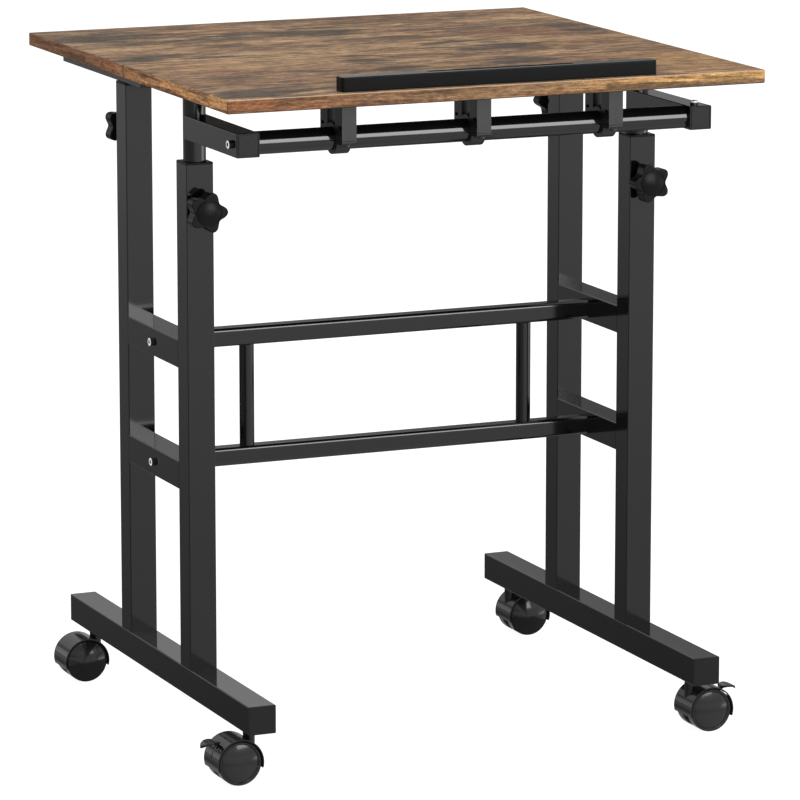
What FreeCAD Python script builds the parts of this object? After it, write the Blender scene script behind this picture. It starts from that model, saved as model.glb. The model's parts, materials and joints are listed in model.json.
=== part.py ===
import FreeCAD, Part
import math
import os

# Rolling desk with two boards on telescoping posts; the front board tilts.
# Millimetres. X to the right, Y to the rear, Z up, floor at Z = 0.

# Driving sizes: casters
WHEEL_DIAMETER = 47.0
CASTER_HEIGHT = 58.0
CASTER_WIDTH = 40.0
CASTER_TRAIL = 16.5
CASTER_INSET = 39.0
WEB_THICKNESS = 10.0
HOOD_THICKNESS = 1.2
HOOD_GAP = 1.0
WHEEL_GAP = 0.5
HOOD_TILT = 2.0
HOOD_DROP = 6.9
AXLE_DIAMETER = 6.0
AXLE_PLAY = 0.4
HUB_WALL = 5.0
RIM_SETBACK = 1.4
RING_WIDTH = 1.4
GROOVE_WIDTH = 1.2
GROOVE_DEPTH = 1.2
RINGED_DOME_RISE = 3.0
PLAIN_DOME_RISE = 8.0
DOME_FLAT = 1.5
TREAD_BEVEL = 1.5
SHOULDER_WIDTH = 1.0
STEM_DIAMETER = 8.0
STEM_SEAT = 6.0
STEM_PLAY = 0.5
NECK_DIAMETER = 12.5
CASTER_NUT_HEIGHT = 12.0
CASTER_NUT_WALL = 4.0
RUNNING_FIT = 0.05

# Driving sizes: brake pedals
PEDAL_LENGTH = 17.5
PEDAL_WIDTH = 18.0
PEDAL_THICKNESS = 2.2
PEDAL_TAB = 3.6
PEDAL_PIVOT = 3.0
PEDAL_ARCH = 16.0
PEDAL_ROOT_SLOPE = 25.0
PEDAL_NOSE = 0.6
PEDAL_ROUNDING = 0.7
PEDAL_SHANK = 5.0
PEDAL_ROOM = 1.0
PIVOT_REACH = 14.0
PIVOT_RISE = 15.0
PIN_WALL = 1.2
TAB_WAY_SLOPE = 27.0
CHANNEL_ANGLE = 39.0
CHANNEL_WIDTH = 5.5
CHANNEL_DEPTH = 2.2
CHANNEL_MARGIN = 2.0
SLIT_ANGLE = 17.0
SLIT_WIDTH = 1.6
SLIT_LENGTH = 7.4
SLIT_DEPTH = 3.0

# Driving sizes: stand
BOARD_OVERHANG = 45.0
RUNG_LENGTH = 150.0
FOOT_LENGTH = 544.0
FOOT_TUBE = 30.0
TUBE_WALL = 1.5
TUBE_CORNER = 1.0
REAR_POST_LENGTH = 599.0
INNER_POST_DIAMETER = 24.0
SLIDE_CLEARANCE = 0.3
COLLAR_WALL = 1.2
COLLAR_FLANGE = 2.5
COLLAR_DEPTH = 25.0
RIM_ROUNDING = 0.8
RUNG_TUBE = 30.0
LOWER_RUNG_RISE = 205.0
RUNG_SPACING = 130.0
CROSSBAR_TUBE = 20.0
CROSSBAR_CORNER = 4.0
ROD_DIAMETER = 16.0
ROD_SPACING = 326.0
CAP_FLANGE = 2.0
CAP_DEPTH = 14.0
CAP_WALL = 2.0
CAP_BEVEL = 0.5
CAP_PLAY = 0.1
CAP_GROOVE = 0.8

# Driving sizes: lifts
POST_FLOOR_GAP = 51.0
STOP_GAP = 0.5
FRONT_RAISE = 23.5
ARM_TUBE = 25.0
ARM_REACH = 152.0
TILT_TUBE_DIAMETER = 24.0
TILT_TUBE_SETBACK = 16.0
TILT_TUBE_DROP = 41.5
SPIGOT_DIAMETER = 16.0
SPIGOT_GAP = 1.0
SPINDLE_PLUG = 25.0
SPINDLE_TAP = 20.0
TUBE_BOLT_LENGTH = 18.0
REAR_ARM_WIDTH = 30.0
REAR_ARM_HEIGHT = 16.0
REAR_ARM_LENGTH = 245.0

# Driving sizes: top
BOARD_WIDTH = 600.0
TOP_DEPTH = 600.0
BOARD_THICKNESS = 14.0
BOARD_EDGE = 0.8
SEAM_GAP = 1.0
REST_GAP = 0.2
LEDGE_LENGTH = 352.0
LEDGE_DEPTH = 18.0
LEDGE_HEIGHT = 15.0
LEDGE_CORNER = 3.0
LEDGE_ROUNDING = 1.0
LEDGE_SETBACK = 10.0
LEDGE_OFFSET = 3.8
LEDGE_BITE = 9.0
LEDGE_SCREW_INSETS = [14.0, 65.0]
SLOT_LENGTH = 164.0
SLOT_WIDTH = 7.0
SLOT_DEPTH = 10.5
SLOT_FRONT_STRIP = 9.0
SLOT_OFFSET = 4.2
CLIP_SPACING = 150.0
CLIP_WIDTH = 16.0
CLIP_DEPTH = 58.0
CLIP_WINDOW = 20.0
CLIP_RING = 4.2
CLIP_FLANGE = 4.0
CLIP_SPLIT = 0.4
CLIP_POCKET_WIDTH = 7.0
CLIP_POCKET_HEIGHT = 3.2

# Driving sizes: knobs and fasteners
KNOB_RADIUS = 18.4
KNOB_LOBE = 3.1
KNOB_LOBES = 5
KNOB_THICKNESS = 16.0
KNOB_STANDOFF = 9.5
KNOB_BOSS = 15.0
KNOB_HUB = 26.0
KNOB_DOME = 3.0
KNOB_ROUNDING = 1.0
KNOB_GROOVE = 1.0
KNOB_GAP = 0.5
FRONT_KNOB_DROP = 49.5
REAR_KNOB_DROP = 52.0
STUD_DIAMETER = 8.0
NUT_FLANGE = 1.2
NUT_WALL = 2.5
NUT_RIM = 1.5
BOLT_DIAMETER = 5.0
BOLT_HEAD = 8.5
BOLT_HEAD_HEIGHT = 4.0
BOLT_SOCKET = 4.0
BOLT_BEVEL = 0.4
BOLT_PLAY = 0.5
SCREW_DIAMETER = 4.0
SCREW_HEAD = 8.0
SCREW_HEAD_HEIGHT = 2.6
SCREW_TIP = 0.8
SCREW_CROSS = 4.4
SCREW_CROSS_WIDTH = 1.0
SCREW_CROSS_DEPTH = 1.2
SCREW_PLAY = 0.1
SCREW_ROOM = 1.0
SCREW_RECESS = 0.4
BOARD_BITE = 9.0
INSERT_LENGTH = 24.0

# How far a cutting tool reaches past a face, and a fused shape into its neighbour
OVERSHOOT = 0.5
MERGE = 1.0

# Sizes that follow from those above
WHEEL_RADIUS = WHEEL_DIAMETER / 2
AXLE_Z = WHEEL_RADIUS
FOOT_TOP = CASTER_HEIGHT + FOOT_TUBE
POST_BORE = INNER_POST_DIAMETER + 2 * SLIDE_CLEARANCE + 2 * COLLAR_WALL
POST_TUBE = POST_BORE + 2 * TUBE_WALL
POST_X = BOARD_WIDTH / 2 - BOARD_OVERHANG
POST_Y = (RUNG_LENGTH + POST_TUBE) / 2
CASTER_Y = FOOT_LENGTH / 2 - CASTER_INSET
REAR_COLLAR_TOP = FOOT_TOP + REAR_POST_LENGTH + COLLAR_FLANGE
RUNG_X = POST_X
RUNG_LEVELS = [FOOT_TOP + LOWER_RUNG_RISE, FOOT_TOP + LOWER_RUNG_RISE + RUNG_SPACING]
CROSSBAR_END = RUNG_X - RUNG_TUBE / 2
REAR_ARM_BOTTOM = REAR_COLLAR_TOP + STOP_GAP
UNDERSIDE = REAR_ARM_BOTTOM + REAR_ARM_HEIGHT
TOP = UNDERSIDE + BOARD_THICKNESS
ARM_AXIS_Z = UNDERSIDE - TILT_TUBE_DROP
FRONT_COLLAR_TOP = ARM_AXIS_Z - ARM_TUBE / 2 - FRONT_RAISE
FRONT_POST_LENGTH = FRONT_COLLAR_TOP - COLLAR_FLANGE - FOOT_TOP
ARM_FRONT = -POST_Y - ARM_REACH
TILT_Y = ARM_FRONT + TILT_TUBE_SETBACK
TILT_TUBE_END = POST_X - ARM_TUBE / 2
LIFT_BOTTOM = FOOT_TOP + POST_FLOOR_GAP
BOARD_DEPTH = (TOP_DEPTH - SEAM_GAP) / 2
BOARD_Y = (BOARD_DEPTH + SEAM_GAP) / 2
LEDGE_Y = -TOP_DEPTH / 2 + LEDGE_SETBACK + LEDGE_DEPTH / 2
CLIP_BORE = TILT_TUBE_DIAMETER / 2 + RUNNING_FIT
CLIP_RADIUS = CLIP_BORE + CLIP_RING
CLIP_SCREW_Y = (CLIP_RADIUS + CLIP_DEPTH / 2) / 2
REAR_ARM_Y = BOARD_Y
HOOD_INNER = WHEEL_RADIUS + HOOD_GAP
HOOD_OUTER = HOOD_INNER + HOOD_THICKNESS
NUT_DIAMETER = STUD_DIAMETER + 2 * NUT_WALL
SIDES = {"left": -1, "right": 1}
ENDS = {"front": -1, "rear": 1}
X_AXIS = FreeCAD.Vector(1, 0, 0)
Y_AXIS = FreeCAD.Vector(0, 1, 0)
Z_AXIS = FreeCAD.Vector(0, 0, 1)
ORIGIN = FreeCAD.Vector(0, 0, 0)


def at(shape, x, y, z):
    """Move a shape by x, y, z."""
    shape.translate(FreeCAD.Vector(x, y, z))
    return shape


def along_x(shape):
    """Turn a shape standing on Z so that it points along +X."""
    shape.rotate(ORIGIN, Y_AXIS, 90)
    return shape


def along_y(shape):
    """Turn a shape standing on Z so that it points along +Y."""
    shape.rotate(ORIGIN, X_AXIS, -90)
    return shape


def mirrored(shape, side):
    """The shape itself on the right side, its mirror image in X on the left."""
    if side > 0:
        return shape
    return shape.mirror(ORIGIN, X_AXIS)


def rod(diameter, length):
    return Part.makeCylinder(diameter / 2, length)


def prism(width, depth, height, corner):
    """Upright block centred on Z with rounded upright corners."""
    block = at(Part.makeBox(width, depth, height), -width / 2, -depth / 2, 0)
    if corner <= 0:
        return block
    upright = [e for e in block.Edges if abs(e.tangentAt(e.FirstParameter).z) > 0.9]
    return block.makeFillet(corner, upright)


def square_tube(width, depth, length, corner):
    outer = prism(width, depth, length, corner)
    hollow = prism(width - 2 * TUBE_WALL, depth - 2 * TUBE_WALL, length, corner - TUBE_WALL)
    return outer.cut(hollow)


def round_tube(diameter, length):
    return rod(diameter, length).cut(rod(diameter - 2 * TUBE_WALL, length))


def end_cap(width, depth, corner, reach):
    """Tube plug pointing up: flange below Z = 0, hollow spigot above."""
    flange = at(prism(width, depth, CAP_FLANGE, corner), 0, 0, -CAP_FLANGE)
    rim = [e for e in flange.Edges if e.BoundBox.ZMax < -CAP_FLANGE + 0.01]
    flange = flange.makeChamfer(CAP_BEVEL, rim)
    plug_w = width - 2 * (TUBE_WALL + CAP_PLAY)
    plug_d = depth - 2 * (TUBE_WALL + CAP_PLAY)
    plug = prism(plug_w, plug_d, reach, corner - TUBE_WALL)
    hollow = Part.makeBox(plug_w - 2 * CAP_WALL, plug_d - 2 * CAP_WALL, reach)
    hollow = at(hollow, CAP_WALL - plug_w / 2, CAP_WALL - plug_d / 2, 0)
    return flange.fuse(plug.cut(hollow)).removeSplitter()


def socket_bolt(length):
    """Cap screw pointing up: head below Z = 0, shank above."""
    head = at(rod(BOLT_HEAD, BOLT_HEAD_HEIGHT), 0, 0, -BOLT_HEAD_HEIGHT)
    rim = [e for e in head.Edges if e.BoundBox.ZMax < -BOLT_HEAD_HEIGHT + 0.01]
    head = head.makeChamfer(BOLT_BEVEL, rim)
    hexagon = Part.makePolygon([
        FreeCAD.Vector(
            BOLT_SOCKET / math.sqrt(3) * math.cos(math.radians(60 * i)),
            BOLT_SOCKET / math.sqrt(3) * math.sin(math.radians(60 * i)),
            -BOLT_HEAD_HEIGHT,
        )
        for i in range(7)
    ])
    socket = Part.Face(hexagon).extrude(FreeCAD.Vector(0, 0, 0.6 * BOLT_HEAD_HEIGHT))
    return head.fuse(rod(BOLT_DIAMETER, length)).cut(socket)


def wood_screw(length):
    """Round-head screw pointing up: head below Z = 0, shank above."""
    head = at(rod(SCREW_HEAD, SCREW_HEAD_HEIGHT), 0, 0, -SCREW_HEAD_HEIGHT)
    rim = [e for e in head.Edges if e.BoundBox.ZMax < -SCREW_HEAD_HEIGHT + 0.01]
    head = head.makeFillet(0.45 * SCREW_HEAD_HEIGHT, rim)
    slot = Part.makeBox(SCREW_CROSS, SCREW_CROSS_WIDTH, SCREW_CROSS_DEPTH)
    slot = at(slot, -SCREW_CROSS / 2, -SCREW_CROSS_WIDTH / 2, -SCREW_HEAD_HEIGHT)
    cross = slot.copy()
    cross.rotate(ORIGIN, Z_AXIS, 90)
    shank = rod(SCREW_DIAMETER, length - SCREW_DIAMETER)
    point = Part.makeCone(SCREW_DIAMETER / 2, SCREW_TIP / 2, SCREW_DIAMETER)
    point = at(point, 0, 0, length - SCREW_DIAMETER)
    return head.fuse([shank, point]).cut(slot).cut(cross)


def screw_hole(length):
    return rod(SCREW_DIAMETER + 2 * SCREW_PLAY, length)


parts = {}


# Stand
def foot(side):
    tube = along_y(square_tube(FOOT_TUBE, FOOT_TUBE, FOOT_LENGTH - 2 * CAP_FLANGE, TUBE_CORNER))
    tube = at(tube, side * POST_X, CAP_FLANGE - FOOT_LENGTH / 2, CASTER_HEIGHT + FOOT_TUBE / 2)
    for end in ENDS.values():
        hole = rod(STEM_DIAMETER + 2 * STEM_PLAY, TUBE_WALL + 2 * OVERSHOOT)
        tube = tube.cut(at(hole, side * POST_X, end * CASTER_Y, CASTER_HEIGHT - OVERSHOOT))
    return tube


def foot_cap(side, end):
    cap = end_cap(FOOT_TUBE, FOOT_TUBE, TUBE_CORNER, CAP_DEPTH)
    cap.rotate(ORIGIN, X_AXIS, -90 if end < 0 else 90)
    reach = FOOT_LENGTH / 2 - CAP_FLANGE
    return at(cap, side * POST_X, end * reach, CASTER_HEIGHT + FOOT_TUBE / 2)


def caster_nut(side, end):
    nut = rod(STEM_DIAMETER + 2 * CASTER_NUT_WALL, CASTER_NUT_HEIGHT)
    nut = nut.cut(rod(STEM_DIAMETER + 2 * SCREW_PLAY, CASTER_NUT_HEIGHT))
    return at(nut, side * POST_X, end * CASTER_Y, CASTER_HEIGHT + TUBE_WALL)


def caster_stem(side, end):
    top = CASTER_HEIGHT + TUBE_WALL + CASTER_NUT_HEIGHT
    bottom = AXLE_Z + STEM_SEAT + STEM_PLAY
    return at(rod(STEM_DIAMETER, top - bottom), side * POST_X, end * CASTER_Y, bottom)


def knob_level(end):
    if end < 0:
        return FRONT_COLLAR_TOP - FRONT_KNOB_DROP
    return REAR_COLLAR_TOP - REAR_KNOB_DROP


def outer_post(side, end):
    length = FRONT_POST_LENGTH if end < 0 else REAR_POST_LENGTH
    tube = at(square_tube(POST_TUBE, POST_TUBE, length, TUBE_CORNER), side * POST_X, end * POST_Y, FOOT_TOP)
    depth = TUBE_WALL + 2 * OVERSHOOT
    hole = along_y(rod(NUT_DIAMETER + 2 * CAP_PLAY, depth))
    near = POST_Y + POST_TUBE / 2 - TUBE_WALL - OVERSHOOT
    start = near if end > 0 else -near - depth
    return tube.cut(at(hole, side * POST_X, start, knob_level(end)))


def collar(side, end):
    top = FRONT_COLLAR_TOP if end < 0 else REAR_COLLAR_TOP
    flange = at(prism(POST_TUBE, POST_TUBE, COLLAR_FLANGE, TUBE_CORNER), 0, 0, -COLLAR_FLANGE)
    rim = [e for e in flange.Edges if e.BoundBox.ZMin > -0.01]
    flange = flange.makeFillet(RIM_ROUNDING, rim)
    spigot = POST_BORE - 2 * CAP_PLAY
    sleeve = at(
        prism(spigot, spigot, COLLAR_DEPTH, TUBE_CORNER - TUBE_WALL), 0, 0, -COLLAR_FLANGE - COLLAR_DEPTH
    )
    reach = COLLAR_FLANGE + COLLAR_DEPTH
    bore = at(rod(INNER_POST_DIAMETER + 2 * SLIDE_CLEARANCE, reach), 0, 0, -reach)
    return at(flange.fuse(sleeve).cut(bore).removeSplitter(), side * POST_X, end * POST_Y, top)


def knob_nut(side, end):
    """Flanged nut in the post wall, opening towards the knob."""
    flange = rod(NUT_DIAMETER + 2 * NUT_RIM, NUT_FLANGE)
    body = at(rod(NUT_DIAMETER, TUBE_WALL), 0, 0, -TUBE_WALL)
    thread = rod(STUD_DIAMETER + 2 * RUNNING_FIT, NUT_FLANGE + TUBE_WALL + 2 * OVERSHOOT)
    thread = at(thread, 0, 0, -TUBE_WALL - OVERSHOOT)
    nut = flange.fuse(body).cut(thread).removeSplitter()
    nut.rotate(ORIGIN, X_AXIS, -90 if end > 0 else 90)
    return at(nut, side * POST_X, end * (POST_Y + POST_TUBE / 2), knob_level(end))


def rung(side, level):
    tube = along_y(square_tube(RUNG_TUBE, RUNG_TUBE, RUNG_LENGTH, TUBE_CORNER))
    tube = at(tube, side * RUNG_X, -RUNG_LENGTH / 2, level)
    hole = along_x(rod(BOLT_DIAMETER + 2 * BOLT_PLAY, RUNG_TUBE + 2 * OVERSHOOT))
    return tube.cut(at(hole, side * RUNG_X - RUNG_TUBE / 2 - OVERSHOOT, 0, level))


def crossbar(level):
    tube = along_x(square_tube(CROSSBAR_TUBE, CROSSBAR_TUBE, 2 * CROSSBAR_END, CROSSBAR_CORNER))
    return at(tube, -CROSSBAR_END, 0, level)


def bar_insert(side, level):
    size = CROSSBAR_TUBE - 2 * (TUBE_WALL + CAP_PLAY)
    block = prism(size, size, INSERT_LENGTH, CROSSBAR_CORNER - TUBE_WALL)
    block = along_x(block.cut(rod(BOLT_DIAMETER + 2 * SCREW_PLAY, INSERT_LENGTH)))
    start = CROSSBAR_END - INSERT_LENGTH if side > 0 else -CROSSBAR_END
    return at(block, start, 0, level)


def bar_bolt(side, level):
    bolt = socket_bolt(RUNG_TUBE + 0.7 * INSERT_LENGTH)
    bolt.rotate(ORIGIN, Y_AXIS, -90 if side > 0 else 90)
    return at(bolt, side * (RUNG_X + RUNG_TUBE / 2), 0, level)


def tie_rod(side):
    bottom = RUNG_LEVELS[0] + CROSSBAR_TUBE / 2
    length = RUNG_SPACING - CROSSBAR_TUBE
    return at(round_tube(ROD_DIAMETER, length), side * ROD_SPACING / 2, 0, bottom)


for name, side in SIDES.items():
    parts["foot_tube_" + name] = foot(side)
    parts["rungs_" + name] = Part.makeCompound([rung(side, level) for level in RUNG_LEVELS])
    for end_name, end in ENDS.items():
        parts["outer_post_" + end_name + "_" + name] = outer_post(side, end)
corners = [(side, end) for side in SIDES.values() for end in ENDS.values()]
joints = [(side, level) for side in SIDES.values() for level in RUNG_LEVELS]
parts["foot_end_caps"] = Part.makeCompound([foot_cap(*c) for c in corners])
parts["post_collars"] = Part.makeCompound([collar(*c) for c in corners])
parts["frame_nuts"] = Part.makeCompound([nut(*c) for nut in (knob_nut, caster_nut) for c in corners])
parts["caster_stems"] = Part.makeCompound([caster_stem(*c) for c in corners])
parts["crossbar_lower"] = crossbar(RUNG_LEVELS[0])
parts["crossbar_upper"] = crossbar(RUNG_LEVELS[1])
parts["crossbar_inserts"] = Part.makeCompound([bar_insert(*j) for j in joints])
parts["crossbar_bolts"] = Part.makeCompound([bar_bolt(*j) for j in joints])
parts["tie_rods"] = Part.makeCompound([tie_rod(side) for side in SIDES.values()])


# Front lift
def inner_post(side, end, top):
    tube = round_tube(INNER_POST_DIAMETER, top - LIFT_BOTTOM)
    return at(tube, side * POST_X, end * POST_Y, LIFT_BOTTOM)


def post_cap(side):
    top = UNDERSIDE - REST_GAP
    disc = at(rod(INNER_POST_DIAMETER, CAP_FLANGE), 0, 0, -CAP_FLANGE)
    rim = [e for e in disc.Edges if e.BoundBox.ZMin > -0.01]
    disc = disc.makeFillet(RIM_ROUNDING, rim)
    plug = rod(INNER_POST_DIAMETER - 2 * (TUBE_WALL + CAP_PLAY), CAP_DEPTH)
    plug = at(plug, 0, 0, -CAP_FLANGE - CAP_DEPTH)
    return at(disc.fuse(plug).removeSplitter(), side * POST_X, -POST_Y, top)


def arm(side):
    length = ARM_REACH - CAP_FLANGE - INNER_POST_DIAMETER / 8
    tube = at(along_y(square_tube(ARM_TUBE, ARM_TUBE, length, TUBE_CORNER)), 0, ARM_FRONT + CAP_FLANGE, 0)
    cope = at(rod(INNER_POST_DIAMETER, 2 * ARM_TUBE), 0, -POST_Y, -ARM_TUBE)
    reach = ARM_TUBE / 2 + OVERSHOOT
    spigot_way = at(along_x(rod(SPIGOT_DIAMETER + 2 * CAP_PLAY, reach)), -reach, TILT_Y, 0)
    tube = tube.cut(cope).cut(mirrored(spigot_way, side))
    if side < 0:
        hole = at(along_x(rod(BOLT_DIAMETER + 2 * SCREW_PLAY, reach)), -reach, TILT_Y, 0)
    else:
        hole = at(rod(BOLT_DIAMETER + 2 * SCREW_PLAY, reach), 0, TILT_Y, 0)
    return at(tube.cut(hole), side * POST_X, 0, ARM_AXIS_Z)


def arm_cap(side):
    """Plug in the front end of an arm, with a groove around its face."""
    reach = TILT_TUBE_SETBACK - CAP_FLANGE - SPIGOT_DIAMETER / 2 - SPIGOT_GAP
    cap = end_cap(ARM_TUBE, ARM_TUBE, TUBE_CORNER, reach)
    frame = ARM_TUBE - 2 * TUBE_WALL
    panel = frame - 2 * CAP_GROOVE
    groove = prism(frame, frame, CAP_GROOVE, 0).cut(prism(panel, panel, CAP_GROOVE, 0))
    cap = cap.cut(at(groove, 0, 0, -CAP_FLANGE))
    cap.rotate(ORIGIN, X_AXIS, -90)
    return at(cap, side * POST_X, ARM_FRONT + CAP_FLANGE, ARM_AXIS_Z)


def spindle(side):
    """Plug in the tilt tube with a spigot reaching into the arm."""
    plug = rod(TILT_TUBE_DIAMETER - 2 * (TUBE_WALL + CAP_PLAY), SPINDLE_PLUG)
    spigot_length = ARM_TUBE - TUBE_WALL - CAP_PLAY
    spigot = at(rod(SPIGOT_DIAMETER, spigot_length), 0, 0, SPINDLE_PLUG)
    piece = plug.fuse(spigot)
    if side < 0:
        tap = rod(BOLT_DIAMETER + 2 * SCREW_PLAY, SPINDLE_TAP)
        piece = piece.cut(at(tap, 0, 0, SPINDLE_PLUG + spigot_length - SPINDLE_TAP))
    piece = at(along_x(piece), TILT_TUBE_END - SPINDLE_PLUG, TILT_Y, ARM_AXIS_Z)
    return mirrored(piece, side)


def tube_bolt():
    bolt = socket_bolt(TUBE_BOLT_LENGTH)
    bolt.rotate(ORIGIN, Y_AXIS, 90)
    return at(bolt, -POST_X - ARM_TUBE / 2, TILT_Y, ARM_AXIS_Z)


def lock_screw():
    bolt = socket_bolt((ARM_TUBE - SPIGOT_DIAMETER) / 2)
    bolt.rotate(ORIGIN, X_AXIS, 180)
    return at(bolt, POST_X, TILT_Y, ARM_AXIS_Z + ARM_TUBE / 2)


for name, side in SIDES.items():
    parts["inner_post_front_" + name] = inner_post(side, -1, UNDERSIDE - REST_GAP - CAP_FLANGE)
    parts["front_arm_" + name] = arm(side)
parts["front_post_caps"] = Part.makeCompound([post_cap(side) for side in SIDES.values()])
parts["front_arm_caps"] = Part.makeCompound([arm_cap(side) for side in SIDES.values()])
tilt_tube = along_x(round_tube(TILT_TUBE_DIAMETER, 2 * TILT_TUBE_END))
parts["tilt_tube"] = at(tilt_tube, -TILT_TUBE_END, TILT_Y, ARM_AXIS_Z)
parts["tilt_tube_spindles"] = Part.makeCompound([spindle(side) for side in SIDES.values()])
parts["tilt_tube_bolts"] = Part.makeCompound([tube_bolt(), lock_screw()])


# Rear lift
REAR_SCREW_Y = [REAR_ARM_Y + offset for offset in (-0.4 * REAR_ARM_LENGTH, 0, 0.4 * REAR_ARM_LENGTH)]


def rear_arm(side):
    length = REAR_ARM_LENGTH - 2 * CAP_FLANGE
    tube = along_y(square_tube(REAR_ARM_WIDTH, REAR_ARM_HEIGHT, length, TUBE_CORNER))
    tube = at(tube, side * POST_X, REAR_ARM_Y - length / 2, REAR_ARM_BOTTOM + REAR_ARM_HEIGHT / 2)
    for y in REAR_SCREW_Y:
        tube = tube.cut(at(screw_hole(REAR_ARM_HEIGHT), side * POST_X, y, REAR_ARM_BOTTOM))
    return tube


def rear_arm_cap(side, end):
    cap = end_cap(REAR_ARM_WIDTH, REAR_ARM_HEIGHT, TUBE_CORNER, CAP_DEPTH)
    cap.rotate(ORIGIN, X_AXIS, -90 if end < 0 else 90)
    reach = REAR_ARM_LENGTH / 2 - CAP_FLANGE
    return at(cap, side * POST_X, REAR_ARM_Y + end * reach, REAR_ARM_BOTTOM + REAR_ARM_HEIGHT / 2)


def board(y):
    slab = at(Part.makeBox(BOARD_WIDTH, BOARD_DEPTH, BOARD_THICKNESS), -BOARD_WIDTH / 2, -BOARD_DEPTH / 2, 0)
    slab = slab.makeChamfer(BOARD_EDGE, slab.Edges)
    return at(slab, 0, y, UNDERSIDE)


rear_screws = []
rear_board = board(BOARD_Y)
for side in SIDES.values():
    for y in REAR_SCREW_Y:
        rear_board = rear_board.cut(at(screw_hole(BOARD_BITE + SCREW_ROOM), side * POST_X, y, UNDERSIDE))
        screw = wood_screw(REAR_ARM_HEIGHT + BOARD_BITE)
        rear_screws.append(at(screw, side * POST_X, y, REAR_ARM_BOTTOM))
parts["rear_board"] = rear_board
parts["rear_board_screws"] = Part.makeCompound(rear_screws)
parts["rear_arm_caps"] = Part.makeCompound([rear_arm_cap(*c) for c in corners])
for name, side in SIDES.items():
    parts["inner_post_rear_" + name] = inner_post(side, 1, REAR_ARM_BOTTOM)
    parts["rear_arm_" + name] = rear_arm(side)


# Tilting front board with its ledge and clips
CLIP_X = [-CLIP_SPACING, 0, CLIP_SPACING]
LEDGE_RECESS = SCREW_HEAD_HEIGHT + SCREW_RECESS
LEDGE_SCREW_X = [
    LEDGE_OFFSET + side * (LEDGE_LENGTH / 2 - inset)
    for side in SIDES.values() for inset in LEDGE_SCREW_INSETS
]


def clip_upper(x):
    """Saddle over the tilt tube with a leg on each side up to the board."""
    block = at(Part.makeBox(CLIP_WIDTH, CLIP_DEPTH, TILT_TUBE_DROP), -CLIP_WIDTH / 2, -CLIP_DEPTH / 2, 0)
    split = Part.makeBox(2 * CLIP_WIDTH, 2 * CLIP_DEPTH, CLIP_SPLIT / 2)
    block = block.cut(at(split, -CLIP_WIDTH, -CLIP_DEPTH, 0))
    window = Part.makeBox(2 * CLIP_WIDTH, CLIP_WINDOW, TILT_TUBE_DROP)
    window = at(window, -CLIP_WIDTH, -CLIP_WINDOW / 2, 0)
    block = block.cut(window)
    saddle = at(along_x(rod(2 * CLIP_RADIUS, CLIP_WIDTH)), -CLIP_WIDTH / 2, 0, 0)
    below = at(
        Part.makeBox(2 * CLIP_WIDTH, 4 * CLIP_RADIUS, 2 * CLIP_RADIUS),
        -CLIP_WIDTH, -2 * CLIP_RADIUS, CLIP_SPLIT / 2 - 2 * CLIP_RADIUS,
    )
    block = block.fuse(saddle.cut(below)).removeSplitter()
    block = block.cut(at(along_x(rod(2 * CLIP_BORE, 2 * CLIP_WIDTH)), -CLIP_WIDTH, 0, 0))
    for end in ENDS.values():
        block = block.cut(at(screw_hole(TILT_TUBE_DROP), 0, end * CLIP_SCREW_Y, 0))
        pocket = Part.makeBox(2 * CLIP_WIDTH, CLIP_POCKET_WIDTH, CLIP_POCKET_HEIGHT)
        pocket_y = end * CLIP_SCREW_Y - CLIP_POCKET_WIDTH / 2
        block = block.cut(at(pocket, -CLIP_WIDTH, pocket_y, TILT_TUBE_DROP / 3 - CLIP_POCKET_HEIGHT / 2))
    return at(block, x, TILT_Y, ARM_AXIS_Z)


def clip_lower(x):
    """Half ring under the tilt tube with a flange on each side."""
    flange = Part.makeBox(CLIP_WIDTH, CLIP_DEPTH, CLIP_FLANGE)
    flange = at(flange, -CLIP_WIDTH / 2, -CLIP_DEPTH / 2, -CLIP_SPLIT / 2 - CLIP_FLANGE)
    low = [
        e for e in flange.Edges
        if e.BoundBox.ZMax < -CLIP_SPLIT / 2 - CLIP_FLANGE + 0.01 and e.BoundBox.XLength > 1
    ]
    flange = flange.makeChamfer(0.6 * CLIP_FLANGE, low)
    ring = at(along_x(rod(2 * CLIP_RADIUS, CLIP_WIDTH)), -CLIP_WIDTH / 2, 0, 0)
    above = at(
        Part.makeBox(2 * CLIP_WIDTH, 4 * CLIP_RADIUS, 2 * CLIP_RADIUS),
        -CLIP_WIDTH, -2 * CLIP_RADIUS, -CLIP_SPLIT / 2,
    )
    half = flange.fuse(ring.cut(above)).removeSplitter()
    half = half.cut(at(along_x(rod(2 * CLIP_BORE, 2 * CLIP_WIDTH)), -CLIP_WIDTH, 0, 0))
    for end in ENDS.values():
        half = half.cut(at(screw_hole(4 * CLIP_FLANGE), 0, end * CLIP_SCREW_Y, -3 * CLIP_FLANGE))
    return at(half, x, TILT_Y, ARM_AXIS_Z)


def clip_screw(x, end):
    under = CLIP_SPLIT / 2 + CLIP_FLANGE
    screw = wood_screw(under + TILT_TUBE_DROP + BOARD_BITE)
    return at(screw, x, TILT_Y + end * CLIP_SCREW_Y, ARM_AXIS_Z - under)


def ledge():
    block = prism(LEDGE_LENGTH, LEDGE_DEPTH, LEDGE_HEIGHT, LEDGE_CORNER)
    rim = [e for e in block.Edges if e.BoundBox.ZMin > LEDGE_HEIGHT - 0.01]
    block = block.makeFillet(LEDGE_ROUNDING, rim)
    slot = prism(SLOT_LENGTH, SLOT_WIDTH, SLOT_DEPTH, 0.49 * SLOT_WIDTH)
    slot_y = SLOT_FRONT_STRIP + SLOT_WIDTH / 2 - LEDGE_DEPTH / 2
    return block.cut(at(slot, SLOT_OFFSET, slot_y, LEDGE_HEIGHT - SLOT_DEPTH))


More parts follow.
